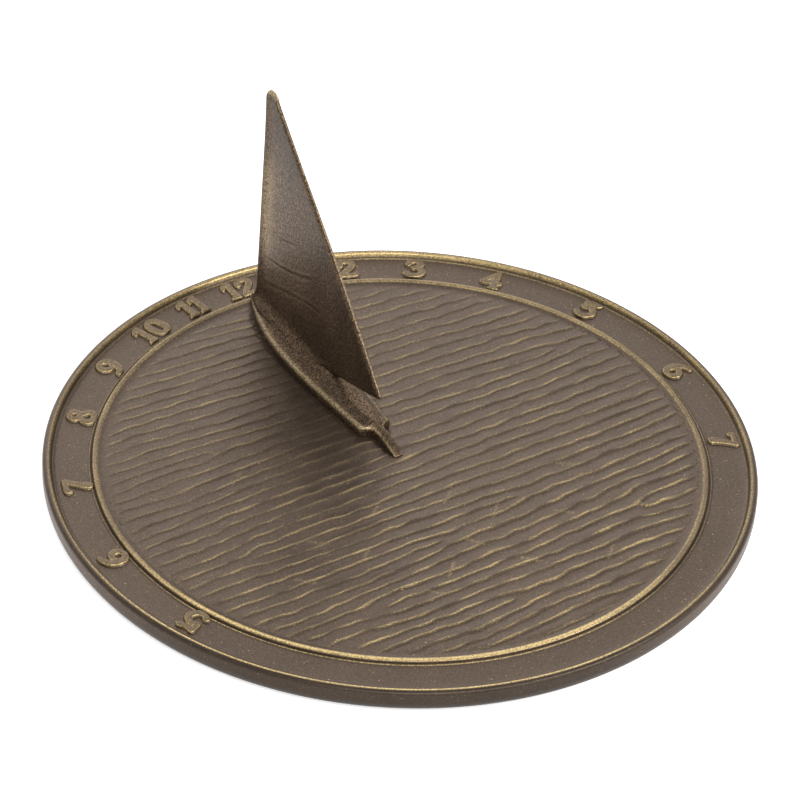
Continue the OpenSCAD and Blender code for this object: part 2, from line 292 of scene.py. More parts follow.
# the profile runs from the hole's end, out along the underside, round the rim and back in
under = [(0, BORE_DEPTH + BORE_POINT)]
under += [(BORE_R, BORE_DEPTH * i / 40) for i in range(40, -1, -1)]
under += [(BORE_R + 0.5, 0), (BOSS_R - BOSS_EASE, 0), (BOSS_R, BOSS_EASE),
          (BOSS_R + BOSS_DRAFT, CEILING_Z - BOSS_ROLL)]
under += arc((BOSS_R + BOSS_DRAFT + BOSS_ROLL, CEILING_Z - BOSS_ROLL), BOSS_ROLL, 180, 90, 5)
under += arc((HOLLOW_R - HOLLOW_ROLL, CEILING_Z - HOLLOW_ROLL), HOLLOW_ROLL, 90, 0, 10)
under += [(LAND_IN - 0.15, 0.15), (LAND_IN, 0)]
rim = arc((PLATE_R - SIDE_ROLL, SIDE_ROLL), SIDE_ROLL, -90, 0, 28)
rim += arc((PLATE_R - SHOULDER_ROLL, BEAD_TOP - SHOULDER_ROLL), SHOULDER_ROLL, 0, 90, 20)
rim += arc((BEAD_MID, BEAD_TOP - BEAD_ROLL), BEAD_ROLL, 90, 160, 10)
rim += LIP_RUN
cove_r = (COVE_W ** 2 + (RING_Z - FIELD_Z) ** 2) / (2 * (RING_Z - FIELD_Z))
cove_turn = math.degrees(math.asin(COVE_W / cove_r))
face = [(r, BAND_Z) for r in np.linspace(BAND_OUT, BAND_IN, 8)]
face += [(r, BAND_Z + rise) for r, rise in FOOT_RUN]
face += arc((RING_OUT - RING_ROLL, RING_Z - RING_ROLL), RING_ROLL, 0, 90, 10)
face += [(RING_IN + 0.1, RING_Z), (RING_IN, RING_Z)]
face += arc((FIELD_R, FIELD_Z + cove_r), cove_r, cove_turn - 90, -90, 12)
face += [(103, FIELD_Z), (60, FIELD_Z), (0, FIELD_Z)]
points, faces = spin(under + rim + face, TURNS)

# the thread cut into the wall of the hole
bore = np.hypot(points[:, 0], points[:, 1]) < BORE_R + 0.01
bore &= (points[:, 2] < BORE_DEPTH - 0.2) & (points[:, 2] > 0.1)
cut = bore * BORE_CUT * thread_wave(points, BORE_PITCH)
points[:, :2] *= (1 + cut / BORE_R)[:, None]

# the rings are rubbed to gold along their edges; painted highlight gilds their tops all over on
# the south-west, the side towards the camera, and brightens their gold lines along the line of
# sight. front is 1 on the south-west and -1 opposite; the line-of-sight factor is 1 along its
# own line and -1 across it
radius, height = np.hypot(points[:, 0], points[:, 1]), points[:, 2]
bearing = np.arctan2(points[:, 0], points[:, 1])
uneven = swell(bearing * 120, radius, 5, 26) * 0.25 + 1
front = np.cos(bearing - math.radians(FRONT_BEARING))
view_line_glint = np.cos(2 * (bearing - math.radians(GLINT_LINE_BEARING)))
camera_side_glint = ease((front - 0.45) / 0.5)
bead_all = ease((radius - BEAD_TOP_FROM) / 0.5) * (1 - ease((radius - BEAD_TOP_TO) / 0.9))
bead_all = bead_all * ease((height - 7.8) / 0.6)
bead_edge = fading(radius - BEAD_LINE, 0.35) + 0.65 * fading(radius - LIP_LINE, 0.25)
bead_gold = bead_all * (0.35 + 0.15 * view_line_glint + 0.6 * camera_side_glint) + bead_edge * (0.45 + 0.4 * view_line_glint)
ring_all = ease((radius - RING_TOP_FROM) / 0.9) * (1 - ease((radius - RING_TOP_TO) / 0.5))
ring_all = ring_all * ease((height - 7.6) / 0.3)
ring_edge = fading(radius - RING_LINES[0], 0.35) + fading(radius - RING_LINES[1], 0.3)
ring_gold = ring_all * (0.15 + 0.85 * camera_side_glint) + ring_edge * (0.32 + 0.12 * view_line_glint)
# the fine line round the ring's foot: a little rubbed, and lit with painted highlight on the
# camera side
foot_gold = fading(radius - FOOT_LINE, 0.2) * (0.25 + 1.1 * ease((front - 0.5) / 0.5))
rub_and_glint = np.clip((bead_gold + ring_gold + foot_gold) * uneven, 0, 1) * ease(height - 4.0)

# dark patina lies in the grooves; painted shade darkens the rim's side and the bead's outer top
# on the camera side, and the foot of the rim
groove = 0.7 * fading(radius - BEAD_GROOVE, 0.15) + 0.7 * fading(radius - RING_GROOVE, 0.2)
side_painted_shade = 0.55 * ease((radius - 125.6) / 0.8) * (1 - ease((height - 7.6) / 1.4))
side_painted_shade = side_painted_shade * ease((front - 0.4) / 0.55)
top_painted_shade = 0.45 * ease((radius - 125.0) / 0.5) * ease((height - 7.6) / 1.4)
top_painted_shade = top_painted_shade * ease(0.2 + 0.8 * front)
foot_painted_shade = 0.5 * ease((radius - 122) / 1.5) * (1 - ease((height - 1.5) / 3))
shade = 0.7 * groove * ease((height - 6) / 0.5) + side_painted_shade + top_painted_shade + foot_painted_shade
plate = mesh_piece("dial_plate_casting", points, faces, plate_finish,
                   {"rub_and_glint": rub_and_glint, "shade": np.clip(shade, 0, 1)})
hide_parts("dial_plate")
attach(plate, "root")


# ---- Screw pads ---------------------------------------------------------------------
# Two round pads cast in one with the plate, on its underside, one for each of the boat's
# screws. Each is faced flat for the washer and drilled for the screw.
SCREW_N = (78.8, 37.4)
PAD_R, PAD_H, PAD_HOLE_R, PAD_SINK = 5.6, 0.3, 2.25, 0.5

pad_face = CEILING_Z - PAD_H
pad_profile = [(PAD_HOLE_R, pad_face), (PAD_R - 0.4, pad_face), (PAD_R - 0.1, pad_face + 0.1),
               (PAD_R, CEILING_Z - 0.05), (PAD_R, CEILING_Z + PAD_SINK),
               (PAD_HOLE_R, CEILING_Z + PAD_SINK), (PAD_HOLE_R, pad_face)]
pad_points, pad_faces = spin(pad_profile, 96)
points = np.concatenate([pad_points + [0, n, 0] for n in SCREW_N])
faces = pad_faces + [[v + len(pad_points) for v in f] for f in pad_faces]
pads = mesh_piece("screw_pads", points, faces, plate_finish)
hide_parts("dial_plate")
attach(pads, "root")


# ---- Water ripples ------------------------------------------------------------------
# The face of the plate inside the ring, cast in one with it: long wave crests from side to
# side, steep to the south, that sway, fork and stop, with rubbed tops. The face is let
# down under the boat, which sits on the flat of the plate.
CREST_PITCH, CREST_H, BACK_SHARE, CREST_LINE = 5.38, 0.4, 0.73, 0.08
FACE_SINK, FACE_LIFT, EDGE_SINK, FADE_FROM, FADE_W = 1.0, 0.05, 0.03, 101.5, 5.0
WATER_R, HULL_OVERLAP, HULL_EASE, HULL_SINK = 107.2, 0.5, 0.45, 0.3
STEP_EAST, STEP_NORTH, GRID_HALF = 1.15, 0.36, 107.5
# where a crest forks or stops: (east, north, which way)
FORKS = [(-6, -84, -1), (-12, -46, -1), (0, 6, -1), (0, 47, -1), (0, 88, -1), (24, -38, -1),
         (-46, -68, 1), (-72, -24, 1), (-58, 34, -1), (62, -62, 1), (84, 30, -1)]
# how the crests sway: (how far in pitches, seed, reach, stretch to the north)
SWAYS = [(0.12, 11, 46, 1.6), (0.07, 12, 17, 1), (0.045, 16, 7, 1), (0.02, 18, 3, 1)]
# short raised lines that join one crest to the next: from (east, north) to (east, north)
BRIDGE_H, BRIDGE_HALF, BRIDGE_RUB, BRIDGE_LINE = 0.16, 0.7, 0.45, 0.4
BRIDGES = [(-3, -49, 1, -54.5), (17, -37.5, 12, -43), (-14, -58, -19, -63),
           (-30, -66, -25, -71), (32, -50, 38, -55), (-52, -24, -47, -29),
           (-66, -40, -61, -45), (6, -24, 0, -29), (-36, -38, -42, -43), (48, -28, 54, -33),
           (8, -66, 13, -71.5), (-20, -18, -26, -23), (40, -76, 35, -81), (-54, 20, -60, 15)]
# the boat's outline, which the water stops at: half widths, and places north of the centre
HALF_BEAM, BOW_TAPER, STERN_TAPER, RUDDER_HALF, RUDDER_TAPER = 9.4, 8.8, 3.1, 2.2, 0.5
BOW_N, WIDEST_N, TRANSOM_N, STERN_N, TAIL_N = 107.6, 59.9, 17.6, 13.6, 1.6
FORE_L, AFT_L, RUDDER_L = 47.7, 42.3, 12


def hull_half(n):
    """Half the boat's beam at places n north of the centre."""
    fore = HALF_BEAM - BOW_TAPER * (np.clip(n - WIDEST_N, 0, FORE_L) / FORE_L) ** 2.7
    aft = HALF_BEAM - STERN_TAPER * (np.clip(WIDEST_N - n, 0, AFT_L) / AFT_L) ** 1.3
    return np.where(n > WIDEST_N, fore, aft)


def boat_half(n):
    """Half width of the boat or its rudder, and less than nothing beyond either end."""
    rudder = RUDDER_HALF - RUDDER_TAPER * (STERN_N - n) / RUDDER_L
    wide = np.where(n > STERN_N, RUDDER_HALF + (n - STERN_N), rudder)
    wide = np.where(n > TRANSOM_N, hull_half(n), wide)
    return np.where((n > TAIL_N) & (n < BOW_N), wide, -5.0)


def water_face(x, n):
    """Height of the water above the flat of the plate, and how rubbed it is at a crest."""
    phase = n / CREST_PITCH
    for fork_x, fork_n, way in FORKS:
        phase = phase + way * np.arctan2(n - fork_n, x - fork_x) / (2 * np.pi)
    for far, seed, reach, stretch in SWAYS:
        phase = phase + far * swell(x, n * stretch, seed, reach)
    part = phase - np.floor(phase)
    back = 1 - ease(part / BACK_SHARE) ** 0.8
    wave = np.where(part < BACK_SHARE, back, ease((part - BACK_SHARE) / (1 - BACK_SHARE)))
    # the relief is lowest on the north-west and highest on the south-east
    tall = np.clip(1 + 0.4 * swell(x, n * 2, 13, 24), 0.3, 1.5)
    tall = tall * (0.5 + 0.55 * ease((60 + 0.4 * x - n) / 140))
    lift = CREST_H * wave * tall + 0.04 * swell(x, n, 14, 60)
    worn = np.clip(0.7 + 0.7 * swell(x, n, 15, 12), 0.0, 1.4)
    crest = fading(np.minimum(part, 1 - part), CREST_LINE) * worn
    for x0, n0, x1, n1 in BRIDGES:
        t = ((x - x0) * (x1 - x0) + (n - n0) * (n1 - n0)) / ((x1 - x0) ** 2 + (n1 - n0) ** 2)
        t = np.clip(t, 0, 1)
        far = np.hypot(x - x0 - t * (x1 - x0), n - n0 - t * (n1 - n0))
        lift = np.maximum(lift, BRIDGE_H * fading(far, BRIDGE_HALF))
        crest = np.maximum(crest, BRIDGE_RUB * fading(far, BRIDGE_LINE))
    r = np.hypot(x, n)
    fade = 1 - ease((r - FADE_FROM) / FADE_W)
    lift = (FACE_LIFT + lift) * fade - EDGE_SINK * (1 - fade)
    cove = cove_r - np.sqrt(cove_r ** 2 - np.clip(r - FIELD_R, 0, COVE_W) ** 2)
    under_boat = ease((HULL_OVERLAP - (np.abs(x) - boat_half(n))) / HULL_EASE)
    polish = 0.2 + 0.3 * ease((30 - n) / 120) + 0.1 * swell(x, n, 17, 70)
    height = cove + lift - (lift + HULL_SINK) * under_boat
    return height, crest * fade * (1 - under_boat) * polish


# a fine grid over the field, cut to a round edge that lies inside the ring's curve
grid_x, grid_n = np.meshgrid(np.arange(-GRID_HALF, GRID_HALF + STEP_EAST, STEP_EAST),
                             np.arange(-GRID_HALF, GRID_HALF + STEP_NORTH, STEP_NORTH))
lift, crest = water_face(grid_x, grid_n)
near = np.hypot(grid_x, grid_n) < WATER_R
cell = near[:-1, :-1] & near[1:, :-1] & near[:-1, 1:] & near[1:, 1:]
used = np.zeros(near.shape, bool)
for a, b in ((0, 0), (1, 0), (0, 1), (1, 1)):
    used[a:used.shape[0] - 1 + a, b:used.shape[1] - 1 + b] |= cell
index = -np.ones(near.shape, int)
index[used] = np.arange(used.sum())
row, col = np.nonzero(cell)
quads = np.stack([index[row, col], index[row, col + 1],
                  index[row + 1, col + 1], index[row + 1, col]], 1)
top = np.stack([grid_x[used], grid_n[used], FIELD_Z + lift[used]], 1)

# walls go down from the round edge to one flat face inside the plate
sides = np.concatenate([quads[:, [0, 1]], quads[:, [1, 2]], quads[:, [2, 3]], quads[:, [3, 0]]])
pair = np.sort(sides, 1)
_, first, count = np.unique(pair[:, 0] * (len(top) + 1) + pair[:, 1],
                            return_index=True, return_counts=True)
border = sides[first[count == 1]]
follow = dict(zip(border[:, 0].tolist(), border[:, 1].tolist()))
loop = [int(border[0, 0])]
while follow[loop[-1]] != loop[0]:
    loop.append(follow[loop[-1]])
below = {v: len(top) + i for i, v in enumerate(sorted(loop))}
walls = [[int(b), int(a), below[int(a)], below[int(b)]] for a, b in border]
bottom = top[sorted(loop)]
bottom[:, 2] = FIELD_Z - FACE_SINK
faces = quads.tolist() + walls + [[below[v] for v in loop[::-1]]]
rub_and_glint = np.concatenate([np.clip(crest[used], 0, 1), np.zeros(len(loop))])
water = mesh_piece("water_ripples", np.concatenate([top, bottom]), faces, plate_finish,
                   {"rub_and_glint": rub_and_glint, "shade": rub_and_glint * 0})
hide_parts("dial_plate")
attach(water, "root")


# ---- Hour numerals ------------------------------------------------------------------
# Raised numerals for 5 in the morning to 7 in the evening, cast in one with the hour band,
# their tops to the outside. Their faces are round, and their edges rubbed to gold.
NUMERAL_H, NUMERAL_SCALE, BOLDER = 1.05, 1.07, 0.38
EDGE_OUT, EDGE_ROUND = 0.15, 0.8
BLOCK_STEP, BLOCK_HALF_W, BLOCK_HALF_H, BLOCK_SINK, BLOCK_FOOT = 0.2, 4.4, 5.4, 0.3, 0.8
# each hour's numeral: its bearing from noon in degrees and its middle's radius; the bearings
# are those of a dial made for a latitude of about 41.6 degrees
PLACES = {5: (-111.5, 115.2), 6: (-90.3, 115.5), 7: (-69.4, 115.4), 8: (-49.6, 116.05),
          9: (-34.2, 116.5), 10: (-20.8, 117.05), 11: (-10.2, 117.2), 12: (0.1, 117.1),
          13: (10.3, 117.2), 14: (21.2, 117.3), 15: (33.8, 117.3), 16: (48.5, 116.5),
          17: (67.8, 117.8), 18: (91.3, 117.3), 19: (112.8, 117.3)}
# each digit's strokes, as points (across, up, half width)
SIX = [[(1.9, 4.0, .6), (0.2, 3.6, .8), (-1.6, 1.8, 1.05), (-2.3, -0.8, 1.15),
        (-1.6, -3.2, .95), (0.3, -4.1, .75), (2.2, -3.2, .85), (2.6, -1.4, .95),
        (1.5, 0.1, .8), (-0.2, 0.3, .65), (-1.8, -0.9, .55)]]
STROKES = {
    0: [[(0, 4.1, .65), (-2.0, 2.4, 1.0), (-2.4, -0.4, 1.1), (-1.7, -3.1, .95),
         (0.1, -4.1, .7), (2.1, -2.9, 1.0), (2.4, 0, 1.1), (1.8, 2.8, .95), (0, 4.1, .65)]],
    1: [[(-1.9, 1.9, .35), (-1.7, 2.8, .55), (-0.8, 3.5, .7), (0.5, 4.1, .8)],
        [(0.6, 4.0, .9), (0.55, 0, .95), (0.5, -3.5, 1.0)],
        [(-1.3, -4.5, .3), (0.4, -4.0, .75), (1.6, -4.4, .35)]],
    2: [[(-2.3, 1.9, .95), (-2.1, 3.2, .8), (-0.6, 4.1, .75), (1.3, 3.9, .9), (2.1, 2.5, 1.0),
         (1.3, 0.6, .95), (-0.6, -1.6, .85), (-2.3, -3.7, .75)],
        [(-2.4, -4.1, .75), (0, -3.9, .75), (2.5, -4.0, .7), (3.0, -3.0, .4)]],
    3: [[(-2.3, 2.6, .95), (-1.6, 3.8, .75), (0.2, 4.15, .7), (2.0, 3.2, .95), (1.8, 1.6, .9),
         (0.3, 0.5, .65), (-0.6, 0.3, .5)],
        [(0.3, 0.5, .6), (2.3, -0.6, .95), (2.6, -2.4, 1.05), (1.1, -4.0, .85),
         (-1.2, -4.2, .8), (-2.9, -3.2, .95)]],
    4: [[(1.2, 4.3, .8), (-0.9, 1.6, .75), (-3.0, -1.3, .7)],
        [(-3.1, -1.5, .75), (0, -1.5, .75), (3.2, -1.4, .65)],
        [(1.3, 4.0, .95), (1.3, 0, 1.0), (1.5, -3.9, 1.05)],
        [(0.2, -4.5, .3), (1.5, -4.2, .6), (2.8, -4.5, .3)]],
    5: [[(-2.3, 4.1, .8), (-2.1, 2.4, .8), (-2.0, 0.6, .7)],
        [(-2.0, 3.9, .75), (0.0, 3.5, .7), (1.9, 3.8, .8), (2.7, 4.3, .5)],
        [(-1.9, 0.5, .6), (0.2, 1.2, .75), (2.1, 0.2, .95), (2.7, -1.8, 1.05), (1.3, -3.8, .9),
         (-0.9, -4.2, .75), (-2.5, -3.2, .95)]],
    6: SIX,
    7: [[(-2.9, 2.5, .4), (-2.8, 3.7, .7), (-0.8, 3.9, .75), (2.5, 4.0, .75)],
        [(2.5, 3.9, .7), (1.3, 1.4, .85), (0.1, -1.6, 1.1), (-0.4, -3.6, 1.25)]],
    8: [[(0.2, 0.6, .6), (-1.8, 1.6, .75), (-1.7, 3.5, .75), (0.2, 4.2, .7), (1.9, 3.3, .85),
         (1.7, 1.5, .8), (0.2, 0.6, .6)],
        [(0.1, 0.5, .65), (-2.3, -0.8, .85), (-2.4, -3.2, .95), (0.0, -4.15, .75),
         (2.4, -3.1, .95), (2.2, -0.9, .9), (0.1, 0.5, .65)]],
    9: [[(-x, -y, w) for x, y, w in SIX[0]]],
}
# each numeral's digits, and how far each is shifted to the right
DIGITS = {n: [(n, 0)] for n in range(1, 10)}
DIGITS.update({10: [(1, -4.3), (0, 2.9)], 11: [(1, -3.1), (1, 2.1)], 12: [(1, -4.0), (2, 2.7)]})


def along(stroke, steps=14):
    """Places and half widths closely spaced along a stroke, on a curve through its points."""
    p = np.array([stroke[0]] + stroke + [stroke[-1]])
    rows = []
    for a, b, c, d in zip(p, p[1:], p[2:], p[3:]):
        for t in np.arange(steps) / steps:
            rows.append(0.5 * (2 * b + (c - a) * t + (2 * a - 5 * b + 4 * c - d) * t ** 2
                               + (3 * b - a - 3 * c + d) * t ** 3))
    return np.array(rows + [p[-1]])


def digit_block(strokes):
    """A digit's rounded face over a small grid, closed below: points, faces and rub."""
    gx, gy = np.meshgrid(np.arange(-BLOCK_HALF_W, BLOCK_HALF_W + 0.01, BLOCK_STEP),
                         np.arange(-BLOCK_HALF_H, BLOCK_HALF_H + 0.01, BLOCK_STEP))
    inside = np.full(gx.shape, -9.0)
    for stroke in strokes:
        for x, y, w in along(stroke):
            inside = np.maximum(inside, w + BOLDER - np.hypot(gx - x, gy - y))
    u = np.clip((inside + EDGE_OUT) / EDGE_ROUND, 0, 1)
    z = NUMERAL_H * np.sqrt(1 - (1 - u) ** 2) - np.where(u > 0, 0.0, BLOCK_SINK)
    points = np.stack([gx.ravel(), gy.ravel(), z.ravel()], 1)
    index = np.arange(gx.size).reshape(gx.shape)
    faces = np.stack([index[:-1, :-1], index[:-1, 1:], index[1:, 1:], index[1:, :-1]], -1)
    faces = faces.reshape(-1, 4).tolist()
    border = np.concatenate([index[0], index[1:, -1], index[-1, -2::-1], index[-2:0:-1, 0]])
    m, first = len(border), len(points)
    foot = points[border]
    foot[:, 2] = -BLOCK_FOOT
    for i in range(m):
        j = (i + 1) % m
        faces.append([int(border[j]), int(border[i]), first + i, first + j])
    faces.append([first + i for i in range(m - 1, -1, -1)])
    rub_and_glint = (0.1 + 0.55 * fading(u - 0.45, 0.22)) * (u > 0)
    return np.concatenate([points, foot]), faces, np.concatenate([rub_and_glint.ravel(), np.zeros(m)])


blocks = {digit: digit_block(strokes) for digit, strokes in STROKES.items()}
points, faces, rub_and_glint_rows = [], [], []
for hour, (degrees, middle) in PLACES.items():
    bearing = math.radians(degrees)
    out = np.array([math.sin(bearing), math.cos(bearing)])
    right = np.array([math.cos(bearing), -math.sin(bearing)])
    for digit, shift in DIGITS[hour % 12 or 12]:
        block, quads, rub_and_glint = blocks[digit]
        across = np.outer(block[:, 0] * NUMERAL_SCALE + shift, right)
        flat = out * middle + across + np.outer(block[:, 1] * NUMERAL_SCALE, out)
        faces += [[v + len(points) for v in quad] for quad in quads]
        points += np.column_stack([flat, BAND_Z + block[:, 2]]).tolist()
        rub_and_glint_rows.append(rub_and_glint)
rub_and_glint = np.concatenate(rub_and_glint_rows)
numerals = mesh_piece("hour_numerals", points, faces, plate_finish,
                      {"rub_and_glint": rub_and_glint, "shade": rub_and_glint * 0})
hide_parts("dial_plate")
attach(numerals, "root")


# ---- Boat's hull --------------------------------------------------------------------
# The lower part of the second casting, with deck and rudder in one, bow to the north on the
# noon line. It has the plate's antiqued finish on a coarser skin, rubbed round the gunwale
# and on the rudder. Two screws come up into it through the plate.
GUNWALE_H, GUNWALE_ROLL, CROWN_H, QUARTER_ROLL = 3.7, 1.5, 4.9, 1.4
TRANSOM_L, TRANSOM_SPREAD = 4, 3.1
RUDDER_H, RUDDER_FALL, RUDDER_SIDE, RUDDER_CROWN = 5.0, 4.3, 0.72, 0.28
# the top between rudder and transom: its side and its rise at the rudder, and their change
NECK_SIDE, NECK_RISE, NECK_CHANGE = 3.6, 1.4, 0.1
# places north of the centre, and there the deck's rise and the flat after deck's half width
AFT_RISE = ([17.6, 24, 31, 36, 40.5, 45, 50, 56], [1.3, 1.6, 2.0, 2.6, 3.05, 3.5, 4.1, 4.9])
AFT_FLAT = ([17.6, 24, 31, 36, 45, 50], [0.1, 1.7, 2.6, 2.6, 1.3, 0])
# rub on the rudder, the quarters and the sides, the starboard side's share of it, and the painted
# shadow of the sail on the port after deck
RUDDER_RUB, QUARTER_RUB, SIDE_RUB, STARBOARD_SHARE, DECK_SHADE = 0.35, 1.0, 0.55, 0.25, 0.32


def crown(n):
    """Rise of the deck above the gunwale along the boat."""
    fore = CROWN_H * (hull_half(n) / HALF_BEAM) ** 0.7
    return np.minimum(fore, np.interp(n, *AFT_RISE))


def half_section(half, side_h, rise, level):
    """Points from the side's foot over the gunwale to the crowned middle, and their rub."""
    bend = min(GUNWALE_ROLL, half / 2.6)
    edge, soft = half - bend, min(0.9, half / 3)
    rows = [(half - bend / 4, 0.0, 0.0), (half - 0.05, bend / 5, 0.0), (half, bend / 2.5, 0.0)]
    rows += [(half, (side_h - bend) * k + bend * 0.2, 0.0) for k in (0.6, 0.9)]
    for i in range(11):
        a = math.radians(90 * i / 10)
        up = side_h - bend + bend * math.sin(a)
        rows.append((edge + bend * math.cos(a), up, math.sin(a) ** 2))
    across = math.hypot(edge - level, soft) - soft
    for i in range(1, 16):
        x = edge * (1 - i / 16)
        t = 1 - (math.hypot(max(0, x - level), soft) - soft) / across
        rows.append((x, side_h + rise * t ** 1.3, 0.5 * math.exp(-(edge - x) / 0.45)))
    return rows + [(0.02, side_h + rise, 0.0)]


def loft(sections):
    """Faces that skin sections of equally many points, with both ends closed."""
    m, k = len(sections[0]), len(sections)
    faces = []
    for i in range(k - 1):
        for j in range(m):
            a, b = i * m + j, i * m + (j + 1) % m
            faces.append([a, b, b + m, a + m])
    return faces + [list(range(m - 1, -1, -1)), list(range((k - 1) * m, k * m))]


boat_finish = casting_finish("antiqued_boat", dark=(0.068, 0.042, 0.024, 1),
                             mid=(0.116, 0.075, 0.044, 1), gold=(0.60, 0.47, 0.27, 1),
                             gritty=0.9)

# stations from the rudder's tail to the stem: place, half width, side, rise of top, and rub
stations = []
for t in np.linspace(1, 0, 19):
    high = RUDDER_H - RUDDER_FALL * t ** 1.6
    stations.append((STERN_N - RUDDER_L * t, RUDDER_HALF - RUDDER_TAPER * t,
                     RUDDER_SIDE * high, RUDDER_CROWN * high, RUDDER_RUB))
for t in np.linspace(0, 1, 22)[1:]:
    stations.append((STERN_N + TRANSOM_L * t ** 0.5, RUDDER_HALF + TRANSOM_SPREAD * t ** 2.2,
                     NECK_SIDE + NECK_CHANGE * t, NECK_RISE - NECK_CHANGE * t,
                     RUDDER_RUB + (QUARTER_RUB - RUDDER_RUB) * t))
for n in TRANSOM_N + QUARTER_ROLL * (1 - np.cos(np.linspace(0, np.pi / 2, 9)[1:])):
    corner = 1 - math.sqrt(max(0, 1 - ((TRANSOM_N + QUARTER_ROLL - n) / QUARTER_ROLL) ** 2))
    stations.append((n, float(hull_half(n)) - corner, GUNWALE_H, float(crown(n)), QUARTER_RUB))
after = np.linspace(TRANSOM_N + QUARTER_ROLL, WIDEST_N, 50)[1:]
fore = WIDEST_N + FORE_L * np.sin(np.linspace(0, np.pi / 2, 60))[1:]
for n in np.concatenate([after, fore]):
    worn = SIDE_RUB - 0.25 * float(ease((n - 78) / 20))
    stations.append((n, float(hull_half(n)), GUNWALE_H, float(crown(n)), worn))

# the starboard side is less rubbed than the port side, whose after deck has painted shade
# where the sail's shadow falls on it
sections, rub_and_glint_rows, shade_rows = [], [], []
for n, half, side_h, rise, worn in stations:
    level = float(np.interp(n, *AFT_FLAT)) if n > TRANSOM_N else 0.0
    rows = half_section(half, side_h, rise, level)
    sections.append([(x, n, FIELD_Z + z) for x, z, _ in rows]
                    + [(-x, n, FIELD_Z + z) for x, z, _ in rows[::-1]])
    rub_and_glint_rows += [STARBOARD_SHARE * worn * w for _, _, w in rows] + [worn * w for _, _, w in rows[::-1]]
    deck_shade = DECK_SHADE * float(ease((52 - n) / 10)) * float(ease((n - 15) / 5))
    shade_rows += [0.0] * len(rows)
    shade_rows += [deck_shade * float(ease((half - 1.2 - x) / 0.8)) * (x > level) for x, _, _ in rows[::-1]]
points = [p for ring in sections for p in ring]
hull = mesh_piece("boat_hull", points, loft(sections), boat_finish,
                  {"rub_and_glint": np.clip(rub_and_glint_rows, 0, 1), "shade": shade_rows})
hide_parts("sailboat_gnomon")
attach(hull, "root")


# ---- Boat's sail --------------------------------------------------------------------
# The upper part of the same casting: one tall sail that stands on the noon line and casts
# the shadow with its sloping edge. Its root flares into the deck, its faces have pressed
# creases, and its edges and rounded tip are rubbed. Heights are above the plate's flat.
SAIL_H, TIP_ROUND, SAIL_ROOT = 100.4, 3.6, 2.6
TIP_FROM = SAIL_H - TIP_ROUND
SAIL_HALF_T, LUFF_STRIP, LUFF_HOLLOW, ROOT_FLARE = 1.15, 0.3, 0.35, 2.85
# the luff: how far behind the stem, its rake in degrees and the forward sweep of its foot
LUFF_BACK, LUFF_RAKE, SWEEP_H, SWEEP_L = 4.2, 2.3, 12.5, 4
# the sloping edge: where it starts, its slope in degrees, and the bend between its two runs
LEECH_N, LEECH_SLOPE, BEND_H, BEND_L, BEND_DEEP = -3.8, 46, 55.22, 12, 0.075
# the sail's foot: a place on it, its slope in degrees and the roundness of its free corner
FOOT_N, FOOT_H, FOOT_SLOPE, CORNER_ROUND = 45, 7.7, 16.0, 1.1
# how the two edges are rounded: (distance from the edge, share of the half thickness)
LUFF_ROUND = [(0.03, 0.2), (0.15, 0.45), (0.35, 0.68), (0.65, 0.87), (1.05, 0.97),
              (1.6, 1), (2.4, 1), (3.2, 1), (4.2, 1), (5.5, 1)]
LEECH_ROUND = [(4.0, 1), (2.8, 0.99), (2.0, 0.95), (1.4, 0.86), (0.95, 0.74),
               (0.55, 0.58), (0.25, 0.4), (0.06, 0.18)]
# each crease: places (north, height) along it, its depth and its width
CREASES = [
    ([(96.5, 28.2), (94.3, 28.7), (87.0, 30.3), (79.9, 32.3), (70.7, 35.6), (60.8, 40.5)],
     0.3, 0.75),
    ([(98.5, 52.0), (95.5, 52.3), (86.0, 53.6), (80.0, 54.8)], 0.36, 0.6),
    ([(99.5, 39.9), (97.2, 40.3), (86.2, 42.5), (74.0, 47.0)], 0.34, 0.6),
    ([(98.5, 16.6), (96.1, 17.0), (81.6, 22.2), (65.8, 26.9), (54.0, 28.9)], 0.26, 0.8),
    ([(99.0, 64.5), (96.8, 64.7), (89.6, 66.4)], 0.36, 0.6),
    ([(98.8, 77.0), (94.0, 78.0)], 0.3, 0.5),
    ([(98.0, 58.4), (90.0, 59.4)], 0.1, 0.4),
    ([(98.0, 46.2), (84.0, 48.4), (76.0, 51.0)], 0.1, 0.4),
    ([(96.0, 22.6), (84.0, 26.4), (74.0, 30.2)], 0.12, 0.5),
    ([(92.0, 34.6), (78.0, 39.6), (68.0, 44.6)], 0.1, 0.5),
    ([(60.0, 24.0), (48.0, 27.5), (38.0, 33.0)], 0.1, 0.8),
    ([(88.0, 10.5), (70.0, 17.5), (56.0, 20.5)], 0.12, 0.9),
]


def luff_n(h):
    """Forward edge of the sail at a height, swept forward at its foot."""
    sweep = SWEEP_L * max(0, (SWEEP_H - h) / 9) ** 2
    return BOW_N - LUFF_BACK - h * math.tan(math.radians(LUFF_RAKE)) + sweep


def leech_n(h):
    """Sloping edge that casts the shadow: two straight runs joined by a long bend."""
    bend = math.sqrt((h - BEND_H) ** 2 + BEND_L ** 2) - BEND_L
    return LEECH_N + h / math.tan(math.radians(LEECH_SLOPE)) + BEND_DEEP * bend


def aft_n(h):
    """After edge, with the rounded free corner between the foot and the sloping edge."""
    foot = FOOT_N - (h - FOOT_H) / math.tan(math.radians(FOOT_SLOPE))
    slope = leech_n(h)
    return (foot + slope) / 2 + math.sqrt((foot - slope) ** 2 / 4 + CORNER_ROUND ** 2)


def sail_span(h):
    """Fore and aft limits of the sail at a height, rounded off over the tip."""
    t = max(0, h - TIP_FROM) / TIP_ROUND
    cap = math.sqrt(max(0, 1 - t * t))
    low = min(h, TIP_FROM)
    middle = luff_n(low) - TIP_ROUND
    return middle - (middle - aft_n(low)) * cap, middle + TIP_ROUND * cap


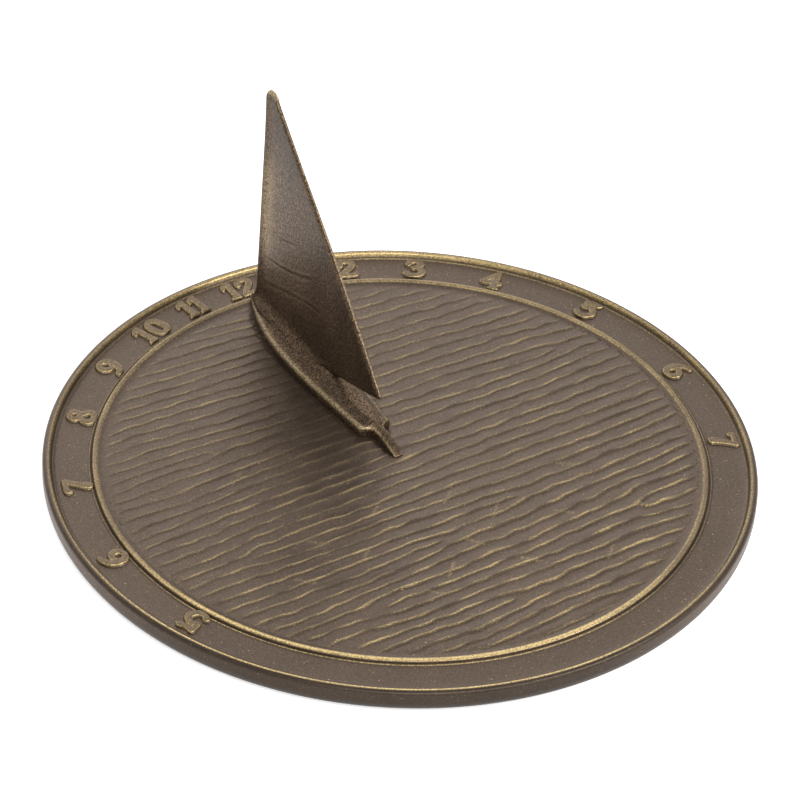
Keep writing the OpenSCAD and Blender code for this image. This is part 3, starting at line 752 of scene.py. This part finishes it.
def sail_half(n, h, d, chord):
    """Half thickness a distance d behind the luff, flaring into the deck at the root."""
    flare = np.exp(-np.maximum(0, h - GUNWALE_H - 0.42 * crown(n)) / 2.0)
    flare = ROOT_FLARE * flare * ease((d + 2) / 8) * ease((chord - d) / 10)
    strip = LUFF_STRIP * (1 - ease((d - 1.2) / 1.6))
    hollow = LUFF_HOLLOW * ease((d - 1.5) / 3.5) * (1 - ease((d - 5) / 14))
    hollow = hollow * ease((TIP_FROM - h) / 30)
    return (SAIL_HALF_T + strip - hollow) * (1 - 0.25 * h / SAIL_H) + flare


def crease_step(n, h):
    """Small steps in the sail's face along its creases."""
    total = np.zeros(n.shape)
    for places, deep, wide in CREASES:
        line = np.array(places)
        best, way = np.full(n.shape, 1e9), np.zeros(n.shape)
        for a, b in zip(line, line[1:]):
            run = b - a
            t = np.clip(((n - a[0]) * run[0] + (h - a[1]) * run[1]) / (run @ run), 0, 1)
            dn, dh = n - a[0] - run[0] * t, h - a[1] - run[1] * t
            far = np.hypot(dn, dh)
            closer = far < best
            best = np.where(closer, far, best)
            way = np.where(closer, np.sign(dn * run[1] - dh * run[0]), way)
        ends = np.clip((n - line[:, 0].min()) / 5, 0, 1)
        ends = ends * np.clip((line[:, 0].max() + 1 - n) / 3, 0, 1)
        u = best * way / wide
        total = total + deep * ends * u * np.exp(-u * u)
    return total


tip = TIP_FROM + TIP_ROUND * np.sin(np.radians(np.linspace(0, 86, 12)[1:]))
levels = np.concatenate([np.linspace(SAIL_ROOT, 22, 40), np.linspace(22, TIP_FROM, 190)[1:], tip])
sections, rub_and_glint_rows, shade_rows = [], [], []
for h in levels:
    back, nose = sail_span(h)
    chord = nose - back
    k = min(1, chord / 24)
    spots = [(k * d, share) for d, share in LUFF_ROUND]
    spots += [(d, 1.0) for d in np.linspace(5.5 * k, chord - 4.0 * k, 62)[1:-1]]
    spots += [(chord - k * d, share) for d, share in LEECH_ROUND]
    d, share = np.array(spots).T
    n = nose - d
    lid = math.sqrt(max(0, SAIL_H - h) / TIP_ROUND) if h > TIP_FROM else 1
    flat = ease((d - 1.5) / 2) * ease((chord - d - 1.0) / 2.5)
    flat = flat * ease((TIP_FROM - h) / 6) * ease((h - 8) / 8)
    thick = sail_half(n, h, d, chord) + crease_step(n, np.full(n.shape, h)) * flat
    half = np.minimum(share * lid * thick, 0.75 * hull_half(n))
    sections.append([(x, y, FIELD_Z + h) for x, y in zip(half, n)]
                    + [(-x, y, FIELD_Z + h) for x, y in zip(half[::-1], n[::-1])])
    # rubbed on both edges and over the tip; the band beside the luff half way up is a painted
    # highlight, where the hollow turns to the light
    rub_and_glint = 0.2 * fading(chord - d, 0.3) + 0.12 * fading(d, 0.5)
    rub_and_glint = rub_and_glint + 0.24 * fading(d - 5, 4) * ease((h - 22) / 14) * ease((80 - h) / 20)
    rub_and_glint = rub_and_glint + 0.9 * ease((h - 97) / 3)
    rub_and_glint_rows.append(np.concatenate([rub_and_glint, rub_and_glint[::-1]]))
    # painted shade darkens the face towards the sloping edge, where it curves away from the light,
    # and lies in a line along the mast strip's edge beside the luff; the face is also darker near
    # the top
    sail_shade = (0.14 + 0.16 * ease((h - 30) / 30)) * ease((chord - d - 0.8) / 2)
    sail_shade = sail_shade * fading(chord - d, 0.55 * chord + 2)
    sail_shade = sail_shade + 0.25 * fading(d - 1.3, 0.45) + 0.3 * ease((h - 62) / 26) * ease(d - 1.5)
    shade_rows.append(np.concatenate([sail_shade, sail_shade[::-1]]))
points = [p for ring in sections for p in ring]
sail = mesh_piece("boat_sail", points, loft(sections), boat_finish,
                  {"rub_and_glint": np.clip(np.concatenate(rub_and_glint_rows), 0, 1),
                   "shade": np.clip(np.concatenate(shade_rows), 0, 1)})
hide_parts("sailboat_gnomon")
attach(sail, "root")


# ---- Gnomon screws ------------------------------------------------------------------
# Two round-headed steel screws, zinc plated, that come up through the plate from below
# and thread into the boat. Only their slotted heads show, under the dial.
UNDER_HEAD, SHANK_TOP, HEAD_R, HEAD_H, SHANK_R = 2.3, 12.5, 3.8, 2.1, 2.0
HEAD_EASE, HEAD_RIM, TIP_EASE = 0.1, 0.15, 0.4
SCREW_PITCH, THREAD_DEEP, PLAIN_TO, THREAD_FROM, THREAD_TO = 0.7, 0.32, 4.6, 4.7, 12.0
SLOT_HALF, SLOT_TURN = (5, 0.55, 1.05), 24


def steel_finish(name, tint, rough):
    """Bright plated steel with fine turned lines and a faint mottle."""
    mat, shader, add, join = new_material(name)
    place = add("ShaderNodeTexCoord").outputs["Object"]
    mottle = add("ShaderNodeTexNoise", {"Vector": place, "Scale": 420, "Detail": 4})
    dull_tint = (tint[0] * 0.75, tint[1] * 0.75, tint[2] * 0.72, 1)
    colour = add("ShaderNodeMix", {"Factor": mottle.outputs["Fac"], "A": tint, "B": dull_tint},
                 data_type="RGBA")
    join(colour.outputs["Result"], "Base Color")
    dull = add("ShaderNodeMapRange", {"Value": mottle.outputs["Fac"], "To Min": rough,
                                      "To Max": rough + 0.15})
    join(dull.outputs["Result"], "Roughness")
    shader.inputs["Metallic"].default_value = 1.0
    turned = add("ShaderNodeTexNoise", {"Vector": place, "Scale": 3000, "Detail": 2})
    lines = add("ShaderNodeBump", {"Height": turned.outputs["Fac"], "Strength": 0.2,
                                   "Distance": 0.00004})
    join(lines.outputs["Normal"], "Normal")
    return mat


def screw_points(count=96):
    """Points and faces of a round-headed screw with a helical thread, its axis at the origin."""
    ball = (HEAD_R ** 2 + HEAD_H ** 2) / (2 * HEAD_H) + 0.4
    bottom = UNDER_HEAD - HEAD_H
    rows = [(0.0, bottom, 0)]
    for r in np.linspace(0.35, HEAD_R - 0.12, 12):
        rows.append((r, bottom + ball - math.sqrt(ball * ball - r * r), 0))
    rows += [(HEAD_R, UNDER_HEAD - HEAD_RIM, 0), (HEAD_R, UNDER_HEAD - 0.08, 0),
             (HEAD_R - HEAD_EASE, UNDER_HEAD, 0), (SHANK_R, UNDER_HEAD, 0),
             (SHANK_R, PLAIN_TO, 0)]
    rows += [(SHANK_R, z, 1) for z in np.arange(THREAD_FROM, THREAD_TO, SCREW_PITCH / 8)]
    rows += [(SHANK_R - TIP_EASE, SHANK_TOP, 0), (0.0, SHANK_TOP, 0)]
    points, faces = spin([(r, z) for r, z, _ in rows], count)
    cut = np.repeat([c for _, _, c in rows], [1 if r < 1e-6 else count for r, _, _ in rows])
    shrink = 1 - cut * THREAD_DEEP * thread_wave(points, SCREW_PITCH) / SHANK_R
    points[:, :2] *= shrink[:, None]
    return points, faces


def cut_slot(piece, n):
    """Takes a straight driver slot out of a screw's head."""
    bpy.ops.mesh.primitive_cube_add(location=(0, n * MM, (UNDER_HEAD - HEAD_H) * MM))
    cutter = bpy.context.object
    cutter.scale = [half * MM for half in SLOT_HALF]
    cutter.rotation_euler = (0, 0, math.radians(SLOT_TURN + n))
    slot = piece.modifiers.new("driver_slot", "BOOLEAN")
    slot.object, slot.solver = cutter, "EXACT"
    bpy.context.view_layer.objects.active = piece
    bpy.ops.object.modifier_apply(modifier=slot.name)
    bpy.data.objects.remove(cutter)


screw_steel = steel_finish("zinc_plated_screw", (0.58, 0.58, 0.56, 1), 0.28)
for name, n in (("gnomon_screw_fore", SCREW_N[0]), ("gnomon_screw_aft", SCREW_N[1])):
    points, faces = screw_points()
    screw = mesh_piece(name, points + [0, n, 0], faces, screw_steel)
    cut_slot(screw, n)
    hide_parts("gnomon_screws")
    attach(screw, "root")


# ---- Lock washers -------------------------------------------------------------------
# A split ring of spring steel under each screw head, plated like the screws. Its ends are
# cut on the slant and stand a little apart.
WASHER_R, WASHER_BORE, WASHER_T, WASHER_EASE = 4.1, 2.25, 0.9, 0.15
SPLIT, SLANT = 0.16, 0.16


def washer_points(steps=90):
    """Points and faces of a split ring with eased edges, its underside at z = 0."""
    low, high, middle = WASHER_EASE, WASHER_T - WASHER_EASE, WASHER_T / 2
    inner, outer = WASHER_BORE + WASHER_EASE, WASHER_R - WASHER_EASE
    corners = [(inner, low, 180), (outer, low, 270), (outer, high, 0), (inner, high, 90)]
    section = [q for r, z, a in corners for q in arc((r, z), WASHER_EASE, a, a + 90, 4)]
    rings = []
    for i in range(steps + 1):
        rows = []
        for r, z in section:
            slant = (z - middle) * SLANT / middle
            turn = SPLIT / 2 + slant + (2 * math.pi - SPLIT) * i / steps
            rows.append((r * math.cos(turn), r * math.sin(turn), z))
        rings.append(rows)
    return np.array([q for ring in rings for q in ring]), loft(rings)


washer_steel = steel_finish("plated_spring_steel", (0.5, 0.5, 0.49, 1), 0.34)
for name, n in (("lock_washer_fore", SCREW_N[0]), ("lock_washer_aft", SCREW_N[1])):
    points, faces = washer_points()
    washer = mesh_piece(name, points + [0, n, UNDER_HEAD], faces, washer_steel)
    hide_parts("lock_washers")
    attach(washer, "root")
